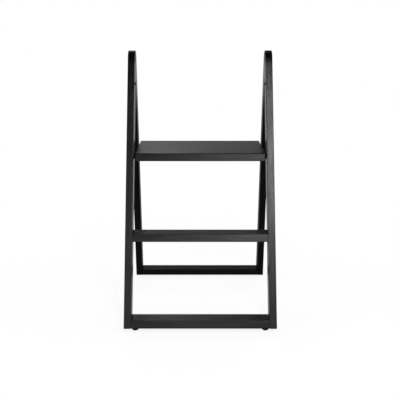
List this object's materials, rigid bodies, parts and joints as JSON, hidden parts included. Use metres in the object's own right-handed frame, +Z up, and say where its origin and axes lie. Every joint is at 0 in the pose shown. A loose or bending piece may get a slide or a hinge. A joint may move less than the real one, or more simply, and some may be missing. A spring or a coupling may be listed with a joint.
{
  "type": "folding stepladder",
  "caption": "Black wooden folding stepladder: leaning front frame with a lower step, hinged rear frame with rounded arch tops, and a top tread that folds up between the legs.",
  "frame": {"origin": "on the floor, below the middle of the open ladder's outline", "axes": "+Z up, the front with the lower step faces -Y, +X to the right seen from the front"},
  "size_m": [0.45, 0.5654, 0.796],
  "materials": {
    "black_wood": "satin black paint over fine wood grain",
    "bare_wood": "bare beech, hidden in the joints",
    "black_rubber": "matt",
    "black_nylon": "matt",
    "black_steel": "satin black",
    "zinc_steel": "zinc plated",
    "brass": "bare"
  },
  "bodies": {
    "front_frame": {"lower_step": "black_wood", "front_bottom_rail": "black_wood", "front_dowels": "bare_wood", "front_glide_screws": "zinc_steel", "front_leg_left": "black_wood", "front_leg_right": "black_wood", "front_glide_left": "black_rubber", "front_glide_right": "black_rubber", "hinge_bush_left": "black_nylon", "hinge_bush_right": "black_nylon", "tread_bush_left": "black_nylon", "tread_bush_right": "black_nylon"},
    "rear_frame": {"rear_bottom_rail": "black_wood", "tread_rest_rail": "black_wood", "rear_dowels": "bare_wood", "hinge_washers": "black_nylon", "rest_buffers": "black_rubber", "rear_leg_left": "black_wood", "rear_leg_right": "black_wood", "top_arch_left": "black_wood", "top_arch_right": "black_wood", "arch_tenon_left": "bare_wood", "arch_tenon_right": "bare_wood", "rear_glide_left": "black_nylon", "rear_glide_right": "black_nylon", "hinge_barrel_left": "black_steel", "hinge_barrel_right": "black_steel", "hinge_bolt_left": "black_steel", "hinge_bolt_right": "black_steel"},
    "tread": {"top_tread": "black_wood", "tread_bolt_left": "black_steel", "tread_bolt_right": "black_steel", "tread_spacer_left": "black_nylon", "tread_spacer_right": "black_nylon", "tread_insert_left": "brass", "tread_insert_right": "brass"}
  },
  "joints": [
    {"name": "rear_frame_fold", "type": "hinge", "parent": "front_frame", "child": "rear_frame", "pos_m": [0, 0.03821, 0.69526], "axis": [-1, 0, 0], "range_deg": [0, 35.6]},
    {"name": "tread_fold", "type": "hinge", "parent": "front_frame", "child": "tread", "pos_m": [0, -0.05255, 0.4835], "axis": [1, 0, 0], "range_deg": [0, 66.8]}
  ]
}
